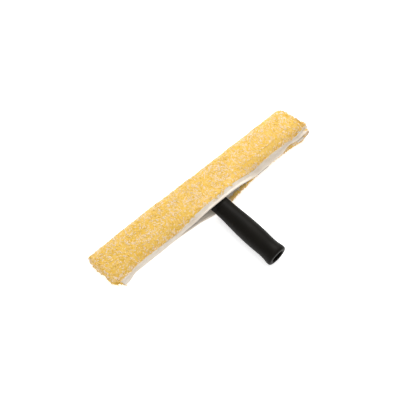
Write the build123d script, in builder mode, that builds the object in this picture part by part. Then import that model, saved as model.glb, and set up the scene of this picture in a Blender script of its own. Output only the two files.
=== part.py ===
from build123d import *
import os

# Window washer: a T-bar that carries a washable pile sleeve, lying flat.
# X runs along the bar, +Y is the working edge, -Y the free end of the handle, Z is up.
# All lengths are in millimetres and the floor is at z = 0.

# Sleeve
sleeve_half = 228.5        # half of the 18 inch sleeve length
sleeve_top = 39.0          # outer thickness
edge_y = 101.5             # outer face of the working edge
end_pile = 9.5             # pile thickness on the two ends
bottom_pile = 8.6          # pile thickness underneath
backing = 1.0              # woven backing cloth
pocket_front = 89.9        # inner face of the pocket at the working edge
pocket_top = 28.1          # inner face of the top panel
fold_y = 50.5              # line on which the closing flap folds open
fold_gap = 0.2
pile_back = 36.0           # where the bottom pile stops and its hem tape starts
hem_y = 28.0               # outer edge of the bottom hem tape
tape_thick = 2.4

# T-bar
bar_front, bar_back = 89.5, 53.5
bar_low, bar_high = 11.2, 27.8
bar_half = 212.0
bar_wall = 2.2
axis_z = 19.5              # centre plane of the bar and of the handle
neck_width = 30.0
tongue_width = 44.0
rivet_x = 14.0

# Handle
grip_front, grip_end = 25.0, -101.5
tube_r, tube_bore_r = 13.5, 12.0
tube_end = -96.5
socket_r, socket_length = 10.5, 62.0

# Hook-and-loop strips
strip_thick = 1.2
strip_x0, strip_x1 = 62.0, 122.0

bar_mid_y = (bar_front + bar_back) / 2
pocket_half = sleeve_half - end_pile - backing
flap_half = pocket_half - 0.4
lining_top = bottom_pile + backing

# Closing flap, as (along the cloth, y at the handle, y and z drop where it is closed)
flap_path = [
    (0.0, 50.5, 50.5, 0.0),
    (2.0, 48.5, 48.5, 0.3),
    (5.0, 45.5, 45.9, 1.7),
    (9.0, 41.5, 43.6, 5.0),
    (12.5, 38.0, 42.2, 8.2),
    (15.5, 35.0, 41.0, 11.0),
    (18.5, 32.0, 39.6, 13.6),
    (21.0, 29.5, 38.1, 15.6),
    (24.5, 26.0, 34.6, 15.6),
]
flap_pile_thick = [9.9, 9.9, 9.6, 8.8, 7.4, 5.2]
handle_half = 26.0         # half-width that stays raised over the neck
closed_from = 60.0         # from here outwards the flap is fully closed
raised = 0.1               # how far it is closed over the neck, almost flat

os.makedirs("parts", exist_ok=True)


def box_between(x0, x1, y0, y1, z0, z1, mode=Mode.ADD):
    """A box given by its limits, inside the current block."""
    with Locations(((x0 + x1) / 2, (y0 + y1) / 2, (z0 + z1) / 2)):
        Box(x1 - x0, y1 - y0, z1 - z0, mode=mode)


def flap_point(index, closed, lift):
    """(y, z) on the flap, lift above its inner face; closed is 1 at the sides."""
    _, y_open, y_closed, drop = flap_path[index]
    before, after = max(index - 1, 0), min(index + 1, len(flap_path) - 1)

    def place(k):
        y = flap_path[k][1] + (flap_path[k][2] - flap_path[k][1]) * closed
        return y, pocket_top - flap_path[k][3] * closed

    (y0, z0), (y1, z1) = place(before), place(after)
    length = ((y1 - y0) ** 2 + (z1 - z0) ** 2) ** 0.5
    normal_y, normal_z = (z1 - z0) / length, (y0 - y1) / length
    y, z = place(index)
    if index == 0:
        return y - fold_gap, z + lift
    return y + normal_y * lift, z + normal_z * lift


def flap_layer(first, last, low, high):
    """Profile of one layer of the flap between two points of its path, as a closed outline."""

    def outline(closed):
        inner = [flap_point(k, closed, low) for k in range(first, last + 1)]
        outer = [flap_point(k, closed, high[k - first]) for k in range(first, last + 1)]
        return inner + outer[::-1]

    return outline


whole_flap = [
    (-flap_half, 1),
    (-closed_from, 1),
    (-handle_half, raised),
    (handle_half, raised),
    (closed_from, 1),
    (flap_half, 1),
]


# ---------------------------------------------------------------- T-bar
# Flattened hollow bar with slots that hold water.
with BuildPart() as crossbar:
    with BuildSketch(Plane.YZ.offset(-bar_half)):
        with Locations((bar_mid_y, axis_z)):
            RectangleRounded(bar_front - bar_back, bar_high - bar_low, 6.0)
            RectangleRounded(
                bar_front - bar_back - 2 * bar_wall,
                bar_high - bar_low - 2 * bar_wall,
                4.0,
                mode=Mode.SUBTRACT,
            )
    extrude(amount=2 * bar_half)
    with BuildSketch(Plane.XY.offset(bar_low - 1)):
        with Locations([(side * (44 + 26 * n), bar_mid_y) for side in (-1, 1) for n in range(7)]):
            SlotOverall(16, 8)
    extrude(amount=bar_high - bar_low + 2, mode=Mode.SUBTRACT)
    box_between(
        -neck_width / 2, neck_width / 2, bar_back - 1, bar_back + 8,
        bar_low + bar_wall, bar_high - bar_wall, mode=Mode.SUBTRACT,
    )
    with Locations((-rivet_x, bar_mid_y, bar_high), (rivet_x, bar_mid_y, bar_high)):
        CounterBoreHole(2.4, 4.5, 1.0)
    with Locations((-rivet_x, bar_mid_y, bar_low + 0.5), (rivet_x, bar_mid_y, bar_low + 0.5)):
        Cylinder(4.5, 1.0, mode=Mode.SUBTRACT)
crossbar.part.label = "crossbar"
export_step(crossbar.part, "parts/crossbar.step")

# Plugs that close the bar's two ends.
for side, name in ((-1, "bar_cap_left"), (1, "bar_cap_right")):
    with BuildPart() as bar_cap:
        with BuildSketch(Plane.YZ.offset(side * bar_half)):
            with Locations((bar_mid_y, axis_z)):
                RectangleRounded(bar_front - bar_back, bar_high - bar_low, 6.0)
        extrude(amount=side * 5.0)
        fillet(bar_cap.faces().sort_by(Axis.X)[0 if side < 0 else -1].edges(), 2.0)
        with BuildSketch(Plane.YZ.offset(side * bar_half)):
            with Locations((bar_mid_y, axis_z)):
                RectangleRounded(
                    bar_front - bar_back - 2 * bar_wall - 0.1,
                    bar_high - bar_low - 2 * bar_wall - 0.1,
                    3.95,
                )
        extrude(amount=-side * 14.0)
    bar_cap.part.label = name
    export_step(bar_cap.part, f"parts/{name}.step")

# Moulded neck: a tongue riveted inside the bar and a round spigot for the handle tube.
with BuildPart() as neck:
    box_between(
        -tongue_width / 2, tongue_width / 2, bar_back + bar_wall + 4, bar_front - bar_wall - 4,
        bar_low + bar_wall, bar_high - bar_wall,
    )
    box_between(
        -neck_width / 2 + 0.1, neck_width / 2 - 0.1, bar_back - 4, bar_back + 8,
        bar_low + bar_wall, bar_high - bar_wall,
    )
    with BuildSketch(Plane.XZ.offset(-bar_back)):
        with Locations((0, axis_z)):
            RectangleRounded(neck_width + 4, bar_high - bar_low - 3.8, 6.0)
    extrude(amount=bar_back - grip_front)
    with BuildSketch(Plane.XZ.offset(-grip_front)):
        with Locations((0, axis_z)):
            Circle(tube_bore_r)
    extrude(amount=38.0)
    with Locations((-rivet_x, bar_mid_y, bar_high), (rivet_x, bar_mid_y, bar_high)):
        Hole(2.4)
    with Locations(Location((0, 8, axis_z), (0, 90, 0))):
        Cylinder(2.0, 40, mode=Mode.SUBTRACT)
neck.part.label = "neck"
export_step(neck.part, "parts/neck.step")

# Two flush rivets that hold the neck's tongue in the bar.
with BuildPart() as neck_rivets:
    with Locations((-rivet_x, bar_mid_y, axis_z), (rivet_x, bar_mid_y, axis_z)):
        Cylinder(2.4, bar_high - bar_low)
    for z in (bar_low + 0.5, bar_high - 0.5):
        with Locations((-rivet_x, bar_mid_y, z), (rivet_x, bar_mid_y, z)):
            Cylinder(4.5, 1.0)
neck_rivets.part.label = "neck_rivets"
export_step(neck_rivets.part, "parts/neck_rivets.step")

# ---------------------------------------------------------------- handle
with BuildPart() as handle_tube:
    with BuildSketch(Plane.XZ.offset(-grip_front)):
        with Locations((0, axis_z)):
            Circle(tube_r)
            Circle(tube_bore_r, mode=Mode.SUBTRACT)
    extrude(amount=grip_front - tube_end)
    with Locations(Location((0, 8, axis_z), (0, 90, 0))):
        Cylinder(2.0, 40, mode=Mode.SUBTRACT)
handle_tube.part.label = "handle_tube"
export_step(handle_tube.part, "parts/handle_tube.step")

# Cross pin that locks the tube on the neck, hidden under the grip.
with BuildPart() as tube_pin:
    with Locations(Location((0, 8, axis_z), (0, 90, 0))):
        Cylinder(2.0, 2 * tube_r - 0.4)
tube_pin.part.label = "tube_pin"
export_step(tube_pin.part, "parts/tube_pin.step")

# Rubber grip: narrow at the neck, full in the palm, waisted, then flared at the free end.
grip_profile = [
    (16.4, 22.5), (16.6, 8.0), (17.9, -18.0), (18.7, -43.0), (18.3, -62.0), (17.4, -79.0),
    (17.8, -88.0), (18.8, -94.5),
]
with BuildPart() as grip:
    with BuildSketch(Plane(origin=(0, 0, axis_z), x_dir=(1, 0, 0), z_dir=(0, 0, 1))):
        with BuildLine():
            Line((tube_r, grip_front), (14.6, grip_front))
            RadiusArc((14.6, grip_front), (16.4, 22.5), 3.0)
            Spline(*grip_profile)
            ThreePointArc((18.8, -94.5), (18.4, -98.2), (15.6, -100.9))
            Line((15.6, -100.9), (11.5, grip_end))
            Line((11.5, grip_end), (11.5, tube_end))
            Line((11.5, tube_end), (tube_r, tube_end))
            Line((tube_r, tube_end), (tube_r, grip_front))
        make_face()
    revolve(axis=Axis((0, 0, axis_z), (0, 1, 0)))
grip.part.label = "grip"
export_step(grip.part, "parts/grip.step")

# Plastic bush in the free end that takes the tip of an extension pole.
with BuildPart() as pole_socket:
    with BuildSketch(Plane.XZ.offset(-(tube_end + socket_length))):
        with Locations((0, axis_z)):
            Circle(tube_bore_r)
            Circle(socket_r, mode=Mode.SUBTRACT)
    extrude(amount=socket_length)
pole_socket.part.label = "pole_socket"
export_step(pole_socket.part, "parts/pole_socket.step")

# ---------------------------------------------------------------- sleeve
# Pile panels round the pocket.
with BuildPart() as pile_top:
    box_between(
        -pocket_half - backing, pocket_half + backing, fold_y, pocket_front + backing,
        pocket_top + backing, sleeve_top,
    )
pile_top.part.label = "pile_top"
export_step(pile_top.part, "parts/pile_top.step")

with BuildPart() as pile_bottom:
    box_between(
        -pocket_half - backing, pocket_half + backing, pile_back, pocket_front + backing,
        0, bottom_pile,
    )
    fillet(pile_bottom.edges().filter_by(Axis.X).sort_by(Axis.Y)[0:2].sort_by(Axis.Z)[0:1], 4.0)
pile_bottom.part.label = "pile_bottom"
export_step(pile_bottom.part, "parts/pile_bottom.step")

with BuildPart() as pile_front:
    box_between(
        -pocket_half - backing, pocket_half + backing, pocket_front + backing, edge_y,
        0, sleeve_top,
    )
    fillet(pile_front.faces().sort_by(Axis.Y)[-1].edges().filter_by(Axis.X), 9.0)
pile_front.part.label = "pile_front"
export_step(pile_front.part, "parts/pile_front.step")

for side, name in ((-1, "pile_end_left"), (1, "pile_end_right")):
    with BuildPart() as pile_end:
        inner_x, outer_x = side * (pocket_half + backing), side * sleeve_half
        box_between(
            min(inner_x, outer_x), max(inner_x, outer_x), pile_back - 4, edge_y, 0, sleeve_top,
        )
        outer_face = pile_end.faces().sort_by(Axis.X)[0 if side < 0 else -1]
        fillet(
            [pile_end.edges().filter_by(Axis.X).sort_by(Axis.Y)[-1 - k] for k in range(2)]
            + list(outer_face.edges()),
            7.0,
        )
    pile_end.part.label = name
    export_step(pile_end.part, f"parts/{name}.step")

# Woven backing cloth that lines the pocket, with its two end walls.
with BuildPart() as lining:
    box_between(
        -pocket_half, pocket_half, hem_y, pocket_front, bottom_pile, lining_top,
    )
    box_between(
        -pocket_half, pocket_half, pocket_front, pocket_front + backing, bottom_pile,
        pocket_top + backing,
    )
    box_between(
        -pocket_half, pocket_half, fold_y, pocket_front, pocket_top, pocket_top + backing,
    )
    for side in (-1, 1):
        x0, x1 = sorted((side * pocket_half, side * (pocket_half + backing)))
        box_between(x0, x1, pile_back - 4, pocket_front + backing, bottom_pile, pocket_top + backing)
lining.part.label = "lining"
export_step(lining.part, "parts/lining.step")

# Folded tape that binds the bottom flap's edge.
with BuildPart() as hem_tape_bottom:
    box_between(
        -pocket_half, pocket_half, hem_y - 1.2, pile_back - 0.05, bottom_pile - tape_thick,
        bottom_pile,
    )
    box_between(-pocket_half, pocket_half, hem_y - 1.2, hem_y, bottom_pile, lining_top)
    fillet(hem_tape_bottom.edges().filter_by(Axis.X).sort_by(Axis.Y)[0:2], 0.8)
hem_tape_bottom.part.label = "hem_tape_bottom"
export_step(hem_tape_bottom.part, "parts/hem_tape_bottom.step")

# ---------------------------------------------------------------- closing flap
with BuildPart() as flap_lining:
    outline = flap_layer(0, 8, 0.0, [backing] * 9)
    for x, closed in whole_flap:
        with BuildSketch(Plane.YZ.offset(x)):
            with BuildLine():
                Polyline(*outline(closed), close=True)
            make_face()
    loft(ruled=True)
flap_lining.part.label = "flap_lining"
export_step(flap_lining.part, "parts/flap_lining.step")

with BuildPart() as flap_pile:
    lifts = [backing + t for t in flap_pile_thick]
    outline = flap_layer(0, 5, backing, lifts)
    for x, closed in whole_flap:
        with BuildSketch(Plane.YZ.offset(x)):
            with BuildLine():
                Polyline(*outline(closed), close=True)
            make_face()
    loft(ruled=True)
flap_pile.part.label = "flap_pile"
export_step(flap_pile.part, "parts/flap_pile.step")

with BuildPart() as hem_tape_top:
    outline = flap_layer(5, 8, backing + 0.02, [backing + tape_thick] * 4)
    for x, closed in whole_flap:
        with BuildSketch(Plane.YZ.offset(x)):
            with BuildLine():
                Polyline(*outline(closed), close=True)
            make_face()
    loft(ruled=True)
hem_tape_top.part.label = "hem_tape_top"
export_step(hem_tape_top.part, "parts/hem_tape_top.step")

# Hook strips on the flap and loop strips on the bottom hem, each side of the handle.
for side, place in ((-1, "left"), (1, "right")):
    x0, x1 = sorted((side * strip_x0, side * strip_x1))
    with BuildPart() as loop_strip:
        box_between(x0, x1, 32.0, 38.5, lining_top, lining_top + strip_thick)
    loop_strip.part.label = f"loop_strip_{place}"
    export_step(loop_strip.part, f"parts/loop_strip_{place}.step")
    with BuildPart() as hook_strip:
        hook_top = pocket_top - flap_path[-1][3]
        box_between(x0, x1, 34.7, 38.0, hook_top - strip_thick, hook_top)
    hook_strip.part.label = f"hook_strip_{place}"
    export_step(hook_strip.part, f"parts/hook_strip_{place}.step")

# Thread: one row of stitches along each hem tape.
stitch_pitch, stitch_length = 5.0, 3.2
stitch_x = [-212.5 + stitch_pitch * n for n in range(86)]

with BuildPart() as stitches_bottom:
    with Locations([(x, 30.5, lining_top + 0.2) for x in stitch_x]):
        Box(stitch_length, 0.6, 0.4)
stitches_bottom.part.label = "stitches_bottom"
export_step(stitches_bottom.part, "parts/stitches_bottom.step")


def closed_at(x):
    """How far the flap is closed at x, from raised over the neck to 1 from closed_from outwards."""
    share = min(max((abs(x) - handle_half) / (closed_from - handle_half), 0), 1)
    return raised + (1 - raised) * share


with BuildPart() as stitches_top:
    top_places = []
    for x in stitch_x:
        stitch_y, stitch_z = flap_point(7, closed_at(x), backing + tape_thick + 0.3)
        top_places.append((x, stitch_y, stitch_z))
    with Locations(top_places):
        Box(stitch_length, 0.6, 0.4)
stitches_top.part.label = "stitches_top"
export_step(stitches_top.part, "parts/stitches_top.step")
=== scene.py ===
"""Window washer: a T-bar with a rubber grip, carrying a pile sleeve with a hook-and-loop flap.

Metres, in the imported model's frame: X along the bar, +Y the working edge, -Y the handle's end.
"""
import math

import bpy
import numpy as np
from mathutils import Matrix, Vector


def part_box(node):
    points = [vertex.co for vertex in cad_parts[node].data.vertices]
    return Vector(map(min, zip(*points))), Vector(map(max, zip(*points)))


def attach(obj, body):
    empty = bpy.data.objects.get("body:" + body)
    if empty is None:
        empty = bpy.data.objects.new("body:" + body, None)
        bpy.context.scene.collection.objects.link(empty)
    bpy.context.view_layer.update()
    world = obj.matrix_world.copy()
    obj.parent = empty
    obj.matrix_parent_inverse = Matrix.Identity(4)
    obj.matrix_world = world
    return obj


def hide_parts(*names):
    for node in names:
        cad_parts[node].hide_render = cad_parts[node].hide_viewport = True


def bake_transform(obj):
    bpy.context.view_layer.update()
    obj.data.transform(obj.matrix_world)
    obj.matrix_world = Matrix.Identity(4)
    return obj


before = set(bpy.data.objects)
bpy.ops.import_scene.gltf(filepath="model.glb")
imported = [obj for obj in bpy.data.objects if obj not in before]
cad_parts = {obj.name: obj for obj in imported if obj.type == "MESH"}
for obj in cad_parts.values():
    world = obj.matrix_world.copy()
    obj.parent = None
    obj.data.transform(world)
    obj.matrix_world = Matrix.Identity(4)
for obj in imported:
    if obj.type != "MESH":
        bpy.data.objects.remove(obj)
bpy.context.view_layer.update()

MM = 0.001
rng = np.random.default_rng(18)

# ---------------------------------------------------------------- driving sizes, millimetres
sleeve_low, sleeve_high = (np.array(v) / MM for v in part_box("pile_end_left"))
HALF = -sleeve_low[0]                      # half-length of the sleeve
EDGE_Y = sleeve_high[1]                    # working edge
tube_low, tube_high = (np.array(v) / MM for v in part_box("handle_tube"))
TUBE_R = tube_high[0]
BAR_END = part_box("bar_cap_right")[1][0] / MM     # half-length of the bar with its caps
AXIS_Z = (tube_low[2] + tube_high[2]) / 2  # centre plane of bar and handle
FOLD_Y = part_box("pile_top")[0][1] / MM     # line on which the closing flap folds open
GRIP_START, GRIP_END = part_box("grip")[1][1] / MM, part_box("grip")[0][1] / MM

CORE = 8.6                                 # dense part of the pile, below the loose tuft tips
TIP_RISE = 1.1                             # how far the tuft tips stand above the core
END_CORE = 4.4                             # dense part over the two ends, where the cloth is pulled tight
POCKET_LOW, POCKET_HIGH = 8.9, 28.7        # inner faces of the pocket
FRONT_R = (POCKET_HIGH - POCKET_LOW) / 2   # its rounded front
FRONT_Y = EDGE_Y - CORE - TIP_RISE - FRONT_R + 0.6
HEM = 12.0                                 # half of the top hem tape's width; it is folded over the edge
HEM_LOW = 9.0                              # the same of the bottom hem tape
BODY_HALF = HALF - 10.6                    # where the cloth turns down over the bar's ends


# ---------------------------------------------------------------- small helpers
def smooth(a, b, x):
    """0 at a, 1 at b, and a soft step between; a may be the larger."""
    t = np.clip((np.asarray(x, float) - a) / (b - a), 0, 1)
    return t * t * (3 - 2 * t)


def new_object(name, vertices_mm, face_groups, looks=(), kinds=None):
    """An object from points in millimetres and arrays of faces, one array for each number of corners."""
    groups = [np.asarray(group, dtype=np.int32) for group in face_groups]
    sizes = np.concatenate([np.full(len(group), group.shape[1]) for group in groups])
    corners = np.concatenate([group.ravel() for group in groups])
    mesh = bpy.data.meshes.new(name)
    mesh.vertices.add(len(vertices_mm))
    mesh.vertices.foreach_set("co", (np.asarray(vertices_mm, float) * MM).ravel())
    mesh.loops.add(len(corners))
    mesh.loops.foreach_set("vertex_index", corners)
    mesh.polygons.add(len(sizes))
    mesh.polygons.foreach_set("loop_start", (np.cumsum(sizes) - sizes).astype(np.int32))
    if kinds is not None:
        mesh.polygons.foreach_set("material_index", kinds.astype(np.int32))
    mesh.polygons.foreach_set("use_smooth", np.full(len(sizes), True))
    mesh.update(calc_edges=True)
    mesh.validate()
    for look in looks:
        mesh.materials.append(MATERIALS[look])
    obj = bpy.data.objects.new(name, mesh)
    bpy.context.scene.collection.objects.link(obj)
    return obj


def waves(x, y, seed, wavelength, count=5):
    """Smooth noise between about -1 and 1, from a few sine waves that the seed fixes."""
    r = np.random.default_rng(seed)
    total = np.zeros(np.broadcast(x, y).shape)
    for _ in range(count):
        turn = r.uniform(0, 2 * math.pi)
        length = wavelength * r.uniform(0.7, 1.5)
        phase = r.uniform(0, 2 * math.pi)
        total += np.sin(2 * math.pi * (x * math.cos(turn) + y * math.sin(turn)) / length + phase)
    return total / math.sqrt(count * 1.3)


# ---------------------------------------------------------------- materials
class Nodes:
    """A small builder for one node material."""

    def __init__(self, name):
        self.material = bpy.data.materials.new(name)
        self.material.use_nodes = True
        self.tree = self.material.node_tree
        self.shader = self.tree.nodes["Principled BSDF"]
        self.coords = self.tree.nodes.new("ShaderNodeTexCoord")

    def add(self, kind, inputs=(), **settings):
        node = self.tree.nodes.new(kind)
        for key, value in settings.items():
            setattr(node, key, value)
        for key, value in dict(inputs).items():
            if isinstance(value, bpy.types.NodeSocket):
                self.tree.links.new(value, node.inputs[key])
            else:
                node.inputs[key].default_value = value
        return node

    def noise(self, scale, detail=3.0, rough=0.55, stretch=(1, 1, 1)):
        place = self.add("ShaderNodeMapping", {"Vector": self.coords.outputs["Object"], "Scale": stretch})
        return self.add("ShaderNodeTexNoise", {"Vector": place.outputs["Vector"], "Scale": scale,
                                               "Detail": detail, "Roughness": rough}).outputs["Fac"]

    def ramp(self, factor, stops):
        node = self.add("ShaderNodeValToRGB", {"Fac": factor})
        ramp = node.color_ramp
        while len(ramp.elements) < len(stops):
            ramp.elements.new(0.5)
        for element, (place, colour) in zip(ramp.elements, stops):
            element.position = place
            element.color = (*colour, 1.0)
        return node.outputs["Color"]

    def bump(self, height, strength, distance):
        node = self.add("ShaderNodeBump", {"Height": height, "Strength": strength, "Distance": distance})
        self.tree.links.new(node.outputs["Normal"], self.shader.inputs["Normal"])

    def link(self, output, socket):
        self.tree.links.new(output, self.shader.inputs[socket])

    def set(self, **sockets):
        for key, value in sockets.items():
            self.shader.inputs[key.replace("_", " ")].default_value = value
        return self


def pile_material(name, dark, mid, light):
    m = Nodes(name).set(Roughness=0.95, Sheen_Weight=0.25, Sheen_Roughness=0.6, Specular_IOR_Level=0.15)
    m.link(m.ramp(m.noise(260.0, 2.0), [(0.3, dark), (0.5, mid), (0.72, light)]), "Base Color")
    m.bump(m.noise(2600.0, 2.0), 0.5, 0.0004)
    return m.material


def cloth_material(name, low, high, weave, rough=0.9):
    m = Nodes(name).set(Roughness=rough, Sheen_Weight=0.15, Specular_IOR_Level=0.2)
    m.link(m.ramp(m.noise(90.0, 4.0), [(0.3, low), (0.7, high)]), "Base Color")
    threads = [m.add("ShaderNodeTexWave", {"Vector": m.coords.outputs["Object"], "Scale": weave,
                                           "Distortion": 0.6, "Detail": 1.0}, bands_direction=axis)
               for axis in "XY"]
    both = m.add("ShaderNodeMath", {k: wave.outputs["Fac"] for k, wave in enumerate(threads)},
                 operation="ADD")
    m.bump(both.outputs["Value"], 0.35, 0.0003)
    return m.material


def plastic_material(name, low, high, rough, grain=1500.0, strength=0.12, shine=0.4):
    m = Nodes(name).set(Specular_IOR_Level=shine)
    m.link(m.ramp(m.noise(35.0, 5.0), [(0.3, low), (0.75, high)]), "Base Color")
    spread = m.add("ShaderNodeMapRange", {"Value": m.noise(60.0), "To Min": rough - 0.06,
                                          "To Max": rough + 0.08})
    m.link(spread.outputs["Result"], "Roughness")
    m.bump(m.noise(grain, 2.0), strength, 0.0002)
    return m.material


def metal_material(name, low, high, rough, stretch):
    m = Nodes(name).set(Metallic=1.0)
    m.link(m.ramp(m.noise(60.0, 4.0), [(0.3, low), (0.7, high)]), "Base Color")
    spread = m.add("ShaderNodeMapRange", {"Value": m.noise(400.0, 3.0, stretch=stretch),
                                          "To Min": rough - 0.08, "To Max": rough + 0.12})
    m.link(spread.outputs["Result"], "Roughness")
    m.bump(m.noise(900.0, 2.0, stretch=stretch), 0.08, 0.0001)
    return m.material


MATERIALS = {
    # The core's colour is darker than every tuft shade: painted shade of the deep pile between the tufts.
    "core": pile_material("pile_core_painted_shade", (0.72, 0.44, 0.07), (0.77, 0.49, 0.10), (0.80, 0.53, 0.15)),
    "deep": pile_material("pile_deep", (0.80, 0.49, 0.035), (0.83, 0.53, 0.06), (0.84, 0.55, 0.10)),
    "mid": pile_material("pile_mid", (0.83, 0.55, 0.10), (0.84, 0.57, 0.15), (0.85, 0.60, 0.22)),
    "pale": pile_material("pile_pale", (0.84, 0.60, 0.24), (0.85, 0.62, 0.31), (0.85, 0.65, 0.38)),
    "cream": pile_material("pile_cream", (0.85, 0.66, 0.42), (0.86, 0.69, 0.51), (0.87, 0.72, 0.58)),
    "backing": cloth_material("backing_cloth", (0.50, 0.47, 0.44), (0.64, 0.61, 0.57), 420.0),
    "tape": cloth_material("hem_tape", (0.78, 0.69, 0.58), (0.86, 0.79, 0.70), 520.0),
    "thread": cloth_material("sewing_thread", (0.74, 0.67, 0.57), (0.84, 0.78, 0.68), 1800.0),
    "fastener": cloth_material("hook_and_loop", (0.10, 0.10, 0.105), (0.17, 0.17, 0.18), 900.0),
    "rubber": plastic_material("grip_rubber", (0.0034, 0.0027, 0.0016), (0.0062, 0.0050, 0.0032), 0.5,
                               1400.0, 0.25, 0.10),
    "bar": plastic_material("bar_plastic", (0.030, 0.030, 0.032), (0.050, 0.050, 0.053), 0.5),
    "neck": plastic_material("neck_plastic", (0.008, 0.0075, 0.007), (0.014, 0.013, 0.012), 0.5, shine=0.2),
    "cap": plastic_material("cap_plastic", (0.022, 0.022, 0.023), (0.036, 0.036, 0.038), 0.42),
    "tube": metal_material("tube_metal", (0.62, 0.62, 0.64), (0.74, 0.74, 0.75), 0.34, (1, 0.05, 1)),
    "rivet": metal_material("rivet_metal", (0.48, 0.48, 0.49), (0.60, 0.60, 0.61), 0.36, (1, 1, 1)),
}

# ---------------------------------------------------------------- CAD nodes that stay
KEPT = {
    "crossbar": "bar", "neck": "neck", "bar_cap_left": "cap", "bar_cap_right": "cap",
    "neck_rivets": "rivet", "tube_pin": "rivet", "handle_tube": "tube", "pole_socket": "cap",
}
for node, look in KEPT.items():
    cad = bpy.data.objects[node]
    cad.data.materials.clear()
    cad.data.materials.append(MATERIALS[look])


# ---------------------------------------------------------------- shape of the cloth
# Where the flap's inner face runs: control points (y, z) of one curve from the fold to its edge.
# Over the neck it rides up on the grip, on the left it is pressed shut, on the right it lies flatter.
FLAP_OVER_NECK = np.array([(46.5, 28.0), (39.0, 33.6), (28.7, 36.0)])
FLAP_LEFT = np.array([(45.6, 28.8), (42.6, 18.5), (37.6, 10.6)])
FLAP_RIGHT = np.array([(46.4, 28.6), (47.0, 12.8), (33.2, 11.4)])
# What is added to them: at the left end, where the hem draws in near the right end, and at the right
# end itself, where it stands up.
LEFT_END_SHIFT = np.array([(0, 0), (-2.0, 0), (-6.0, 0)])
DRAWN_IN_SHIFT = np.array([(0, 0), (1.4, 0), (4.6, 0.6)])
DRAWN_IN_X, DRAWN_IN_SPREAD = 179, 17
RIGHT_END_SHIFT = np.array([(0, 0), (-1.0, 4.0), (-1.8, 11.0)])

# Points of one section: under the bar, round its front, over its top, and down the flap.
BOTTOM_STEPS, FRONT_STEPS, TOP_STEPS, FLAP_STEPS = 22, 12, 16, 22
SPLIT = BOTTOM_STEPS + FRONT_STEPS + TOP_STEPS - 2     # index of the last point before the flap
MID_FRONT = BOTTOM_STEPS + FRONT_STEPS // 2            # index of a point on the rounded front
STATIONS = np.linspace(-BODY_HALF, BODY_HALF, 161)     # the sections' places along the bar
MID_STATION = len(STATIONS) // 2

# How far in the bottom flap's edge lies, as (x, y): it peeps out round the neck and on the right.
BOTTOM_EDGE = [(-230, 38.5), (-100, 38.0), (-68, 36.0), (-40, 33.2), (-18, 28.2), (0, 27.4), (20, 28.6),
               (42, 31.8), (88, 36.4), (100, 37.6), (138, 38.2), (156, 37.6), (182, 36.6), (203, 33.2),
               (230, 33.0)]

# Width of the top hem tape that shows, as (x, width): the pile laps over it more above the neck.
TAPE_SHOWS = [(-230, 12.8), (-190, 11.4), (-140, 12.0), (-108, 10.6), (-70, 9.0), (-40, 4.8),
              (-12, 4.2), (10, 5.4), (36, 5.2), (58, 6.2), (84, 11.4), (108, 15.8), (142, 17.2),
              (166, 13.6), (184, 9.8), (205, 8.5), (230, 8.0)]

# Short valleys in the top face: the line's two ends (x0, y0, x1, y1), the depth and the width.
CREASES = [(194, 46, 205, 45, 3.6, 3.0), (-213, 80, -200, 88, 3.0, 3.0), (84, 65, 91, 64, 2.2, 3.2),
           (77, 42, 84, 40, 2.2, 3.0), (-40, 38, -31, 39, 2.0, 3.0)]
TOP_FACE_GIRTH = 100                                   # the top face lies beyond this girth


def top_section(x):
    """The backing cloth over the bar's top and down the flap, from the front to the top hem."""
    fold_start = FOLD_Y + 3.0
    points = [(y, POCKET_HIGH) for y in np.linspace(FRONT_Y, fold_start, TOP_STEPS)]
    left, right = float(smooth(20, 92, -x)), float(smooth(24, 100, x))
    controls = FLAP_OVER_NECK * (1 - left - right) + FLAP_LEFT * left + FLAP_RIGHT * right
    controls = controls + LEFT_END_SHIFT * float(smooth(172, 214, -x))
    controls = controls + DRAWN_IN_SHIFT * math.exp(-((x - DRAWN_IN_X) / DRAWN_IN_SPREAD) ** 2)
    controls = controls + RIGHT_END_SHIFT * float(smooth(192, 219, x))
    p0, (p1, p2, p3) = np.array([fold_start, POCKET_HIGH]), controls
    t = np.linspace(0, 1, 80)[:, None]
    curve = p0 * (1 - t) ** 3 + 3 * p1 * t * (1 - t) ** 2 + 3 * p2 * t * t * (1 - t) + p3 * t ** 3
    run = np.concatenate([[0], np.cumsum(np.linalg.norm(np.diff(curve, axis=0), axis=1))])
    for s in np.linspace(0, run[-1], FLAP_STEPS + 1)[1:]:
        points.append((np.interp(s, run, curve[:, 0]), np.interp(s, run, curve[:, 1])))
    return points


def from_table(table, x):
    """A value along the sleeve from a short table, with its corners rounded off."""
    xs, values = zip(*table)
    return float(np.interp(x + np.linspace(-9, 9, 7), xs, values).mean())


def section(x):
    """The backing cloth's section at x, from the bottom hem round the front to the top hem."""
    points = [(y, POCKET_LOW) for y in np.linspace(from_table(BOTTOM_EDGE, x), FRONT_Y, BOTTOM_STEPS)]
    for k in range(1, FRONT_STEPS):
        a = -math.pi / 2 + math.pi * k / FRONT_STEPS
        points.append((FRONT_Y + FRONT_R * math.cos(a),
                       (POCKET_LOW + POCKET_HIGH) / 2 + FRONT_R * math.sin(a)))
    return points + top_section(x)


def unit(vectors):
    return vectors / np.linalg.norm(vectors, axis=-1, keepdims=True)


def outward_normals(grid):
    """Unit normals of a grid over the sleeve, turned so that its front faces +Y."""
    normals = unit(np.cross(np.gradient(grid, axis=0), np.gradient(grid, axis=1)))
    return normals if normals[MID_STATION, MID_FRONT, 1] > 0 else -normals


inner = np.array([[(x, y, z) for y, z in section(x)] for x in STATIONS])
COUNT = inner.shape[1]

# at the left end the hems draw in towards the middle
inner[:, :, 0] += 11.0 * smooth(56, 33, inner[:, :, 1]) * smooth(176, BODY_HALF, -inner[:, :, 0])
inner_normal = outward_normals(inner)

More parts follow.
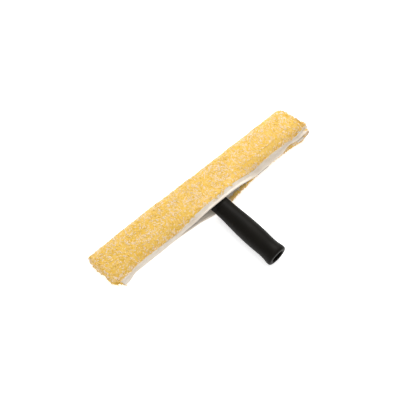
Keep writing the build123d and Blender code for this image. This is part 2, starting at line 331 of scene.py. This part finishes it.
# distance round the section at every station, from the bottom hem and from the top hem
girth = np.concatenate([np.zeros((len(STATIONS), 1)),
                        np.cumsum(np.linalg.norm(np.diff(inner, axis=1), axis=2), axis=1)], axis=1)
from_top_hem = girth[:, -1:] - girth
hem_width = np.array([from_table(TAPE_SHOWS, x) for x in STATIONS])

# depth of the pile's dense part: a little uneven, fuller left of the neck, thin at the two hems
xx = inner[:, :, 0].copy()
core = CORE + 0.18 * waves(xx, girth, 3, 70) + 0.12 * waves(xx, girth, 4, 24)
core += 1.6 * np.exp(-((xx + 105) / 75) ** 2) * smooth(60, 90, inner[:, :, 1])
for x0, y0, x1, y1, depth, width in CREASES:
    px, py = xx - x0, inner[:, :, 1] - y0
    share = np.clip((px * (x1 - x0) + py * (y1 - y0)) / math.hypot(x1 - x0, y1 - y0) ** 2, 0, 1)
    gap = np.hypot(px - share * (x1 - x0), py - share * (y1 - y0))
    core -= depth * np.exp(-(gap / width) ** 2) * (girth > TOP_FACE_GIRTH)
core *= 0.2 + 0.8 * smooth(-3.5, 2.5, from_top_hem - hem_width[:, None])
core *= 0.2 + 0.8 * smooth(-2.0, 5.0, girth)
core = np.maximum(core, 1.3)
outer = inner + inner_normal * core[:, :, None]

# the underside lies on the floor, and curls up a little at the left end's hem corner
curl_up = 6.0 * smooth(188, BODY_HALF, -xx) * smooth(84, 44, outer[:, :, 1])
outer[:, :, 2] = np.maximum(outer[:, :, 2], 0.6 + curl_up)


def end_tuck(side, y, z):
    """How far the cloth draws in at the sleeve's ends, by height and by distance from the hem."""
    if side < 0:
        return 6.5 * smooth(15, 3, z) * smooth(93, 74, y)
    return 6.5 * smooth(22, 35, z) * smooth(54, 80, y) + 5.0 * smooth(90, 101, y) + 4.0 * smooth(14, 2, z)


for side in (-1, 1):
    draw_in = side * smooth(188, BODY_HALF, side * xx) * end_tuck(side, outer[:, :, 1], outer[:, :, 2])
    outer[:, :, 0] -= draw_in
    inner[:, :, 0] -= draw_in
outer_normal = outward_normals(outer)


def along_edge(grid, distance, at_top):
    """The grid's points at one distance in from the top or bottom hem, at every station."""
    distance = np.broadcast_to(np.ravel(distance), len(STATIONS))
    wanted = girth[:, -1] - distance if at_top else distance
    return np.array([[np.interp(w, g, row[:, k]) for k in range(3)]
                     for w, g, row in zip(wanted, girth, grid)])


def at_x(line, x):
    """Values that a line has at every station, at other places along the bar."""
    return np.stack([np.interp(x, STATIONS, line[:, k]) for k in range(3)], axis=1)


def closed_sheet(name, skin, inside, *looks):
    """A closed mesh between two grids of points. The last look goes on its inside."""
    n, m = skin.shape[:2]
    off = n * m
    idx = np.arange(off).reshape(n, m)
    face = np.stack([idx[:-1, :-1], idx[1:, :-1], idx[1:, 1:], idx[:-1, 1:]], axis=-1).reshape(-1, 4)
    rim = np.concatenate([idx[:, 0], idx[-1, 1:], idx[::-1, -1][1:], idx[0, ::-1][1:]])
    edge = np.stack([rim[:-1], rim[1:], rim[1:] + off, rim[:-1] + off], axis=-1)
    kinds = np.repeat([0, len(looks) - 1, 0], [len(face), len(face), len(edge)])
    return new_object(name, np.concatenate([skin.reshape(-1, 3), inside.reshape(-1, 3)]),
                      [face, (face + off)[:, ::-1], edge], looks, kinds)


# The outer faces take the core look, whose darker colour is painted shade between the tufts.
cloth_body = closed_sheet("pile_cloth", outer[:, :SPLIT + 1], inner[:, :SPLIT + 1], "core", "backing")
cloth_flap = closed_sheet("flap_cloth", outer[:, SPLIT:], inner[:, SPLIT:], "core", "backing")

# ---------------------------------------------------------------- ends of the sleeve
END_CENTRE = np.array([72.0, 18.0])                    # middle of the end face, as (y, z)
END_FACE = BODY_HALF + END_CORE + 0.6                  # how far out along the bar it lies
BAR_COVER = 2.0                                        # least cloth beyond the bar's end
LINING_DEPTH = 2.5                                     # from the end face in to its lining
CURVE_STEPS = 6                                        # rings in the rounded edge
FACE_SHARES, LINING_SHARES = (0.8, 0.55, 0.3, 0.1), (0.93, 0.7, 0.4, 0.1)
# How much less the right end's outline stands out, as (y, mm), from the hem to the working edge.
END_WAIST = ((35, 0), (39, -5.0), (42, -4.0), (46, 1.5), (50, 3.8), (57, 4.2), (64, 3.4), (74, 0.8),
             (86, 0), (101, 3.0))


def end_panel(side, name):
    """The pile over one end: the cloth's outline rounds in towards a flat face, with a lining inside."""
    outline = outer[0 if side < 0 else -1]
    edge = np.concatenate([outline, np.linspace(outline[-1], outline[0], 9)[1:-1]])
    if side > 0:
        inward = np.interp(edge[:, 1], *zip(*END_WAIST))
    else:
        inward = 2.0 * smooth(50, 34, edge[:, 1])
    toward = END_CENTRE - edge[:, 1:]
    distance = np.linalg.norm(toward, axis=1, keepdims=True)
    rings = []
    for k in range(CURVE_STEPS + 1):
        a = math.pi / 2 * k / CURVE_STEPS
        ring = edge.copy()
        ring[:, 0] += side * (END_CORE - np.minimum(inward, END_CORE)) * math.sin(a)
        ring[:, 1:] += toward / distance * np.minimum(END_CORE * (1 - math.cos(a)), distance * 0.5)
        rings.append(ring)
    last = rings[-1]

    def shrunk(ring, share):
        """A ring drawn in round the end's centre, at the face's distance along the bar."""
        x = last[:, 0] * share + side * END_FACE * (1 - share)
        return np.column_stack([x, END_CENTRE + (ring[:, 1:] - END_CENTRE) * share])

    for share in FACE_SHARES:
        ring = shrunk(last, share)
        ring[:, 0] = side * np.maximum(side * ring[:, 0], BAR_END + BAR_COVER)
        rings.append(ring)
    lining = [shrunk(edge, share) - [side * LINING_DEPTH, 0, 0] for share in LINING_SHARES]
    middles = [(side * END_FACE, *END_CENTRE), (side * (BODY_HALF - 0.6), *END_CENTRE)]
    vertices = np.concatenate([*rings, *lining, middles])

    count, n_front, n_all = len(edge), len(rings), len(rings) + len(lining)
    here = np.arange(count)
    after = np.roll(here, -1)

    def band(a, b):
        """Quads between rings a and b."""
        return np.stack([a * count + here, a * count + after, b * count + after, b * count + here], axis=1)

    def fan(a, first, second, middle):
        """Triangles from ring a to a middle point."""
        return np.stack([a * count + first, a * count + second, np.full(count, middle)], axis=1)

    groups = [np.concatenate([band(r, r + 1) for r in range(n_front - 1)]),
              fan(n_front - 1, here, after, n_all * count),
              np.concatenate([band(n_front, 0)] + [band(r + 1, r) for r in range(n_front, n_all - 1)]),
              fan(n_all - 1, after, here, n_all * count + 1)]
    kinds = np.repeat([0, 0, 1, 1], [len(group) for group in groups])
    if side < 0:
        groups = [group[:, ::-1] for group in groups]
    return new_object(name, vertices, groups, ("core", "backing"), kinds), np.array(rings)


end_left, left_rings = end_panel(-1, "end_cloth_left")
end_right, right_rings = end_panel(1, "end_cloth_right")

# ---------------------------------------------------------------- tufts of the pile
SHADES = ("deep", "mid", "pale", "cream")
SHADE_STEPS = (0.32, 0.58, 0.78)
SPACING = 1.95
FLAP_SPACING = SPACING * 0.88                          # the flap's pile is a little closer
JITTER = 0.42                                          # share of the spacing
TUFT_SIDES, TUFT_LEVELS = 4, 3
TUFT_WIDTHS = (0.95, 1.12, 0.95, 0.42)                 # of each ring, from the root to the end
BARE_AT_HEM = 6.5                                      # strip along the bottom hem without tufts
FRINGE_DENSITY = 6.5       # tufts for each mm of fringe
FRINGE_SPANS = ((24.0, 92.0), (146.0, 201.0))          # right of the neck, and near the right end
FLOOR_GAP = 0.0002                                     # lowest that a tuft reaches, in metres


def sample_grid(spacing, j0, j1):
    """Places spread over the outer cloth with a little jitter, with their normals and gaps to the hems."""
    n, middle = len(STATIONS) - 1, (j0 + j1) // 2
    lengths = np.linalg.norm(np.diff(outer[MID_STATION, j0:j1 + 1], axis=0), axis=1)
    total = lengths.sum()
    rows = int(total / spacing)
    cols = int(np.linalg.norm(outer[-1, middle] - outer[0, middle]) / spacing)
    s, c = np.meshgrid((np.arange(rows) + 0.5) / rows * total,
                       (np.arange(cols) + 0.5) / cols * n, indexing="ij")
    c = c + (np.arange(rows)[:, None] % 2) * 0.5 * n / cols
    s = s + rng.uniform(-JITTER, JITTER, s.shape) * spacing
    c = c + rng.uniform(-JITTER, JITTER, c.shape) * n / cols
    s, c = np.clip(s, 0, total * 0.99999), np.clip(c, 0, n * 0.99999)
    j = np.interp(s, np.concatenate([[0], np.cumsum(lengths)]), np.arange(j0, j1 + 1))
    i0 = np.floor(c).astype(int)
    jf = np.minimum(np.floor(j).astype(int), COUNT - 2)
    u, v = (c - i0)[..., None], (j - jf)[..., None]

    def mix(g):
        return (g[i0, jf] * (1 - u) * (1 - v) + g[i0 + 1, jf] * u * (1 - v)
                + g[i0, jf + 1] * (1 - u) * v + g[i0 + 1, jf + 1] * u * v)

    gaps = mix(np.stack([from_top_hem, girth], axis=2))
    return mix(outer).reshape(-1, 3), unit(mix(outer_normal).reshape(-1, 3)), gaps.reshape(-1, 2)


def ring_samples(rings, side, spacing):
    """Tuft places and normals on an end panel."""
    a, b, c, d = rings[:-1, :-1], rings[1:, :-1], rings[1:, 1:], rings[:-1, 1:]
    n = np.cross(c - a, d - b)
    area = np.linalg.norm(n, axis=2) / 2
    n = n / np.maximum(np.linalg.norm(n, axis=2, keepdims=True), 1e-9)
    centre = np.array([side * BODY_HALF * 0.9, *END_CENTRE])
    n[((a - centre) * n).sum(axis=2) < 0] *= -1
    wanted = int(area.sum() / spacing ** 2)
    chosen = rng.choice(area.size, size=wanted, p=(area / area.sum()).ravel())
    u, v = rng.uniform(0, 1, wanted)[:, None], rng.uniform(0, 1, wanted)[:, None]
    i, j = np.unravel_index(chosen, area.shape)
    p = a[i, j] * (1 - u) * (1 - v) + b[i, j] * u * (1 - v) + c[i, j] * u * v + d[i, j] * (1 - u) * v
    return p, n[i, j]


def make_tufts(name, p, n, shade_of, lean_out=None):
    """Short bent yarn ends, one mesh for each shade."""
    count = len(p)
    flow = waves(p[:, 0] + 0.7 * p[:, 2], p[:, 1] - p[:, 2], 9, 46) * 2.2 \
        + waves(p[:, 0], p[:, 1] + p[:, 2], 12, 13) * 1.1 + rng.normal(0, 0.55, count)
    t1 = unit(np.cross(n, np.where(np.abs(n[:, :1]) < 0.8, [[1.0, 0, 0]], [[0, 1.0, 0]])))
    lay = t1 * np.cos(flow)[:, None] + np.cross(n, t1) * np.sin(flow)[:, None]
    if lean_out is not None:             # the fringe points away from the working edge
        lay = unit(lay * (1 - lean_out[:, None]) + np.array([0, -1.0, 0]) * lean_out[:, None])
    side_axis = unit(np.cross(n, lay))
    tilt = np.radians(rng.uniform(66, 80, count) + 4 * np.clip(n[:, 1], 0, 1))
    length = rng.uniform(3.8, 5.8, count)
    radius = rng.uniform(0.76, 1.0, count)
    curl = np.radians(rng.uniform(2, 24, count))
    # each tuft starts inside the core and curls over
    place, points = p - n * 1.0, []
    for k, width in enumerate(TUFT_WIDTHS):
        angle = tilt + curl * (k / TUFT_LEVELS)
        axis = n * np.cos(angle)[:, None] + lay * np.sin(angle)[:, None]
        up = np.cross(side_axis, axis)
        for s in range(TUFT_SIDES):
            a = 2 * math.pi * (s + 0.5) / TUFT_SIDES
            points.append(place + (side_axis * math.cos(a) + up * math.sin(a)) * (radius * width)[:, None])
        if k == TUFT_LEVELS:
            points.append(place + axis * (radius * 0.5)[:, None])
        place = place + axis * (length / TUFT_LEVELS)[:, None]
    v = np.stack(points, axis=1)
    ring = [(s, (s + 1) % TUFT_SIDES) for s in range(TUFT_SIDES)]
    sides = np.array([(a + low, b + low, b + low + TUFT_SIDES, a + low + TUFT_SIDES)
                      for low in range(0, TUFT_LEVELS * TUFT_SIDES, TUFT_SIDES) for a, b in ring])
    top = TUFT_LEVELS * TUFT_SIDES
    tips = np.array([(a + top, b + top, top + TUFT_SIDES) for a, b in ring])
    objects = []
    for number, shade in enumerate(SHADES):
        pick = np.flatnonzero(shade_of == number)
        base = np.arange(len(pick))[:, None, None] * len(points)
        groups = [(base + corners[None]).reshape(-1, corners.shape[1]) for corners in (sides, tips)]
        objects.append(new_object(f"{name}_{shade}", v[pick].reshape(-1, 3), groups, (shade,)))
    return objects


def shades_for(p):
    """Which shade each tuft has: patches of deeper and paler yarn with scattered cream flecks."""
    patch = waves(p[:, 0], p[:, 1] + p[:, 2], 21, 60) * 0.10 + waves(p[:, 0], p[:, 1], 22, 15) * 0.12
    return np.digitize(rng.uniform(0, 1, len(p)) + patch, SHADE_STEPS)


# under the bottom hem the pile stops at the tape, except where it fringes out on the right
body_p, body_n, gaps = sample_grid(SPACING, 0, SPLIT)
keep = gaps[:, 1] > BARE_AT_HEM - 6.0 * smooth(14, 30, body_p[:, 0])
body_p, body_n, gaps = body_p[keep], body_n[keep], gaps[keep]
lean_out = np.where((gaps[:, 1] < 3.5) & (body_p[:, 0] > 20), 1.0, 0.0)
flap_p, flap_n, gaps = sample_grid(FLAP_SPACING, SPLIT, COUNT - 1)
keep = gaps[:, 0] > np.interp(flap_p[:, 0], STATIONS, hem_width) + 0.4
flap_p, flap_n = flap_p[keep], flap_n[keep]
ends = [ring_samples(rings, side, SPACING) for side, rings in ((-1, left_rings), (1, right_rings))]

# the bottom flap's pile stands out past its hem on the right of the neck and near the right end
rim = (along_edge(outer, 0, False) + along_edge(inner, 0, False)) / 2
fringe_x = np.concatenate([rng.uniform(a, b, int((b - a) * FRINGE_DENSITY)) for a, b in FRINGE_SPANS])
depth = rng.uniform(0.2, 1.0, len(fringe_x)) * np.where(fringe_x > 120, 7.5, 4.6)
fringe_p = np.stack([fringe_x, np.interp(fringe_x, STATIONS, rim[:, 1]) + depth,
                     rng.uniform(6.0, 10.6, len(fringe_x))], axis=1)
fringe_n = np.tile([0.0, 0.0, 1.0], (len(fringe_p), 1))
lean_out = np.concatenate([lean_out, *(np.zeros(len(p)) for p, _ in ends), np.ones(len(fringe_p))])
body_p = np.concatenate([body_p, *(p for p, _ in ends), fringe_p])
body_n = np.concatenate([body_n, *(n for _, n in ends), fringe_n])
body_shades = shades_for(body_p)
body_shades[-len(fringe_p):] = np.minimum(body_shades[-len(fringe_p):], 1)     # the two deeper shades
body_tufts = make_tufts("pile_tufts", body_p, body_n, body_shades, lean_out)
flap_tufts = make_tufts("flap_tufts", flap_p, flap_n, shades_for(flap_p))
for obj in body_tufts + flap_tufts:      # none reaches into the floor
    co = np.empty(len(obj.data.vertices) * 3)
    obj.data.vertices.foreach_get("co", co)
    co = co.reshape(-1, 3)
    co[:, 2] = np.maximum(co[:, 2], FLOOR_GAP)
    obj.data.vertices.foreach_set("co", co.ravel())

# ---------------------------------------------------------------- hem tapes
TAPE_LIFT, TAPE_THICK = 0.7, 0.6                       # from the cloth, and through the tape


def hem_tape(name, at_top, width_out, width_in):
    """A folded tape round the cloth's edge: outside, round the rim, and inside."""
    rows = []
    for share in np.linspace(1, 0, 9):
        d = width_out * share
        rows.append(along_edge(outer, d, at_top) + along_edge(outer_normal, d, at_top) * TAPE_LIFT)
    rim_out, rim_in = along_edge(outer, 0, at_top), along_edge(inner, 0, at_top)
    direction = unit(rim_in - along_edge(inner, 2.0, at_top))
    middle, half = (rim_out + rim_in) / 2, (rim_out - rim_in) / 2
    size = np.linalg.norm(half, axis=1, keepdims=True)
    reach = size + TAPE_LIFT
    for k in range(1, 6):
        a = math.pi / 2 - math.pi * k / 6
        rows.append(middle + half / size * reach * math.sin(a) + direction * reach * math.cos(a))
    rows += [along_edge(inner, d, at_top) - along_edge(inner_normal, d, at_top) * TAPE_LIFT
             for d in np.linspace(0, width_in, 9)]
    skin = np.stack(rows, axis=1)
    skin[:, :, 1] += waves(skin[:, :, 0], skin[:, :, 1] * 0.2, 31 if at_top else 32, 55) * 0.35
    skin[:, :, 2] = np.maximum(skin[:, :, 2], 0.3)
    out = unit(np.cross(np.gradient(skin, axis=0), np.gradient(skin, axis=1)))
    if (out[:, 0] * along_edge(outer_normal, width_out, at_top)).sum() < 0:
        out = -out
    return closed_sheet(name, skin, skin - out * TAPE_THICK, "tape")


tape_top = hem_tape("hem_tape_top_cloth", True, hem_width + 0.8, HEM - 2)
tape_bottom = hem_tape("hem_tape_bottom_cloth", False, HEM_LOW - 2, HEM_LOW)


# ---------------------------------------------------------------- hook-and-loop strips and stitches
def strip(side, at_top):
    """One fastener strip, on the inner face near its hem, with its low nap as small waves."""
    node = ("hook_strip_" if at_top else "loop_strip_") + ("left" if side < 0 else "right")
    low, high = (v / MM for v in (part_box(node)[0][0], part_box(node)[1][0]))
    rows_out, rows_in = [], []
    first, last = (-0.4, 10.0) if at_top else (1.0, 11.4)      # distances in from the hem
    xs = np.linspace(low, high, 61)
    for d in np.linspace(first, last, 11):
        line = along_edge(inner, max(d, 0), at_top)
        line = line + (along_edge(inner, 0, at_top) - along_edge(inner, 2.0, at_top)) / 2.0 * max(-d, 0)
        place, lift = at_x(line, xs), at_x(-along_edge(inner_normal, max(d, 0), at_top), xs)
        nap = 0.12 * np.sin(xs * 3.1)[:, None] * math.sin(d * 4.0)
        if at_top and d == first:        # the right strip shows a little past the tape
            place = place + np.array([0, -1.6, 0]) * smooth(88, 96, xs)[:, None]
        rows_out.append(place + lift * (1.7 + nap))
        rows_in.append(place + lift * 0.85)
    return closed_sheet(node + "_cloth", np.stack(rows_out, axis=1), np.stack(rows_in, axis=1), "fastener")


hooks = {side: strip(side, True) for side in (-1, 1)}
loops = {side: strip(side, False) for side in (-1, 1)}

STITCH_PITCH, STITCH_HALF = 3.4, 1.25
STITCH_PROFILE = ((-1.0, 0.05), (-0.8, 0.26), (-0.3, 0.34), (0.3, 0.34), (0.8, 0.26), (1.0, 0.05))
STITCH_SIDES = 6


def stitch_row(name, at_top, distance, lift):
    """A row of short rounded stitches that lie along the hem tape."""
    grid, normals = (outer, outer_normal) if at_top else (inner, -inner_normal)
    line, line_up = along_edge(grid, distance, at_top), along_edge(normals, distance, at_top)
    xs = np.arange(-BODY_HALF + 2.0, BODY_HALF - 2.0, STITCH_PITCH)
    rings = []
    for share, radius in STITCH_PROFILE:
        x = xs + share * STITCH_HALF
        u = at_x(line_up, x)
        p = at_x(line, x) + u * lift - u * 0.45 * share ** 2
        sideways = unit(np.cross(u, [[1.0, 0, 0]]))
        for k in range(STITCH_SIDES):
            a = 2 * math.pi * k / STITCH_SIDES
            rings.append(p + (sideways * math.cos(a) + u * math.sin(a)) * radius)
    vertices = np.stack(rings, axis=1)
    n = STITCH_SIDES
    sides = np.array([(r + k, r + (k + 1) % n, r + n + (k + 1) % n, r + n + k)
                      for r in range(0, len(rings) - n, n) for k in range(n)])
    caps = np.array([range(n - 1, -1, -1), range(len(rings) - n, len(rings))])
    base = np.arange(len(xs))[:, None, None] * len(rings)
    groups = [(base + corners[None]).reshape(-1, corners.shape[1]) for corners in (sides, caps)]
    return new_object(name, vertices.reshape(-1, 3), groups, ("thread",))


def tape_turn(name):
    """The top tape's right end, which runs on past the sleeve and turns down and back in a soft loop."""
    low, start, lift, thick = 4.6, 203.0, 1.0, 0.9
    rows_out, rows_in = [], []
    for share in np.linspace(1.15, -0.1, 11):          # across the tape, past both its edges
        line = along_edge(outer, max(HEM * share, 0.0), True)
        line = line + np.array([0, min(HEM * share, 0.0), lift])
        path = list(at_x(line, np.linspace(start, BODY_HALF, 8)))
        x, y, z = path[-1]
        r = max((z - low) / 2, 2.0)
        bulge = math.sin(math.pi * min(max((share + 0.25) / 1.6, 0), 1))
        turn = max(BODY_HALF + 8.0 + 4.5 * bulge - r, x + 0.5)     # centre line of the turn
        path += [(turn + r * math.sin(a), y, z - r + r * math.cos(a)) for a in np.linspace(0, math.pi, 14)]
        path += [(s, y, low) for s in np.linspace(turn, BODY_HALF - 4, 6)[1:]]
        path = np.array(path)
        tangent = unit(np.gradient(path[:, [0, 2]], axis=0))
        under = path.copy()
        under[:, 0] += tangent[:, 1] * thick
        under[:, 2] -= tangent[:, 0] * thick
        rows_out.append(path)
        rows_in.append(under)
    return closed_sheet(name, np.array(rows_out), np.array(rows_in), "tape")


tape_end = tape_turn("hem_tape_top_turn")
stitch_top = stitch_row("stitches_top_thread", True, 4.4, 0.95)
stitch_bottom = stitch_row("stitches_bottom_thread", False, 2.6, 0.95)


# ---------------------------------------------------------------- grip
def grip_profile():
    """Radius along the grip, from the neck to the free end."""
    knots = [(25.0, 16.5), (8.0, 16.7), (-9.0, 17.6), (-26.0, 18.4), (-43.0, 18.7), (-60.0, 18.4),
             (-72.0, 17.7), (-79.0, 17.4), (-86.0, 17.7), (-91.0, 18.5), (-95.0, 19.2)]
    knot_y, knot_r = (np.array(v)[::-1] for v in zip(*knots))
    y = np.linspace(GRIP_START - 0.8, GRIP_END + 6.5, 110)
    fine = np.interp(y, knot_y, knot_r)
    kernel = np.hanning(11)
    kernel /= kernel.sum()
    return y, np.convolve(np.pad(fine, 5, mode="edge"), kernel, mode="valid")


def lathe(name, profile, look, segments=96):
    """A closed ring of (y, radius) points turned about the handle's axis."""
    a = np.linspace(0, 2 * math.pi, segments, endpoint=False)
    pts = np.array([[(r * math.sin(t), y, AXIS_Z + r * math.cos(t)) for t in a] for y, r in profile])
    n = len(profile)
    idx = np.arange(n * segments).reshape(n, segments)
    nxt = np.roll(idx, -1, axis=0)
    q = np.stack([idx, np.roll(idx, -1, axis=1), np.roll(nxt, -1, axis=1), nxt], axis=-1).reshape(-1, 4)
    return new_object(name, pts.reshape(-1, 3), [q], (look,))


ys, rs = grip_profile()
start, end, end_r = GRIP_START, GRIP_END, rs[-1]
profile = [(start - 0.1, TUBE_R + 0.02), (start, 14.6), (start - 0.2, 15.6), (start - 0.5, 16.2)]
profile += list(zip(ys, rs))
profile += [(end + 5.4, end_r + 0.05), (end + 3.4, end_r), (end + 1.8, end_r - 0.4),
            (end + 0.9, end_r - 1.0), (end + 0.3, end_r - 2.0), (end, end_r - 3.2),
            (end, end_r - 5.0), (end, 12.0), (end + 0.3, 11.6), (end + 5.0, 11.5),
            (end + 5.0, TUBE_R + 0.02)]
grip = lathe("rubber_grip", profile, "rubber")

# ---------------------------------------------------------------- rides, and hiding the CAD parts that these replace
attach(cloth_body, "sleeve")
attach(end_left, "sleeve")
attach(end_right, "sleeve")
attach(tape_bottom, "sleeve")
for obj in body_tufts:
    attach(obj, "sleeve")
for obj in [cloth_flap, tape_top, tape_end, stitch_top, hooks[-1], hooks[1]] + flap_tufts:
    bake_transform(obj)
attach(grip, "t_bar")
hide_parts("grip")
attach(stitch_bottom, "sleeve")
for side, place in ((-1, "left"), (1, "right")):
    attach(loops[side], "sleeve")
    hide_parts("loop_strip_" + place)
    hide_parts("hook_strip_" + place)
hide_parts("stitches_top")
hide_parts("stitches_bottom")
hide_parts("pile_top", "pile_bottom", "pile_front", "lining")
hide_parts("flap_pile", "flap_lining")
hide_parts("pile_end_left")
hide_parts("pile_end_right")
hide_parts("hem_tape_top")
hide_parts("hem_tape_bottom")

# ---------------------------------------------------------------- camera, light and floor
TARGET = Vector((-0.0166, 0.0614, 0.015))
AZIMUTH, ELEVATION, DISTANCE = math.radians(-43.07), math.radians(59.2), 0.95
back = Vector((math.sin(AZIMUTH) * math.cos(ELEVATION), -math.cos(AZIMUTH) * math.cos(ELEVATION),
               math.sin(ELEVATION)))
camera = bpy.data.objects.new("camera", bpy.data.cameras.new("camera"))
camera.data.lens = 50.5
camera.data.sensor_width = 36.0
right = Vector((math.cos(AZIMUTH), math.sin(AZIMUTH), 0))
up = back.cross(right)
camera.matrix_world = Matrix((
    (right.x, up.x, back.x, TARGET.x + back.x * DISTANCE),
    (right.y, up.y, back.y, TARGET.y + back.y * DISTANCE),
    (right.z, up.z, back.z, TARGET.z + back.z * DISTANCE),
    (0, 0, 0, 1),
))
bpy.context.scene.collection.objects.link(camera)
bpy.context.scene.camera = camera


def area_light(name, place, aim, size, power, colour=(1, 1, 1)):
    data = bpy.data.lights.new(name, "AREA")
    data.shape = "DISK"
    data.size = size
    data.energy = power
    data.color = colour
    obj = bpy.data.objects.new(name, data)
    obj.location = place
    obj.rotation_euler = (Vector(aim) - Vector(place)).to_track_quat("-Z", "Y").to_euler()
    bpy.context.scene.collection.objects.link(obj)


area_light("key", (0.62, 0.55, 0.95), (0.12, 0.04, 0), 0.8, 10.0, (1.0, 0.985, 0.96))
area_light("fill", (-1.2, -0.6, 1.1), (0, 0.0, 0), 1.2, 2.0, (1.0, 0.99, 0.98))
area_light("top", (0.0, -0.1, 1.9), (0, 0.0, 0), 1.6, 5.0)

world = bpy.data.worlds.new("studio")
world.use_nodes = True
world.node_tree.nodes["Background"].inputs["Color"].default_value = (1.0, 1.0, 1.0, 1.0)
world.node_tree.nodes["Background"].inputs["Strength"].default_value = 0.66
bpy.context.scene.world = world
bpy.context.scene.view_settings.view_transform = "Standard"

FLOOR_HALF = 30000                                     # millimetres
floor_corners = [(x * FLOOR_HALF, y * FLOOR_HALF, 0) for x, y in ((-1, -1), (1, -1), (1, 1), (-1, 1))]
floor = new_object("floor", floor_corners, [[(0, 1, 2, 3)]])
f = Nodes("floor_paper").set(Roughness=0.9, Specular_IOR_Level=0.1, Emission_Strength=0.55,
                             Emission_Color=(1.0, 1.0, 1.0, 1.0))
f.link(f.ramp(f.noise(4.0), [(0.3, (0.90, 0.90, 0.90)), (0.7, (0.92, 0.92, 0.92))]), "Base Color")
floor.data.materials.append(f.material)
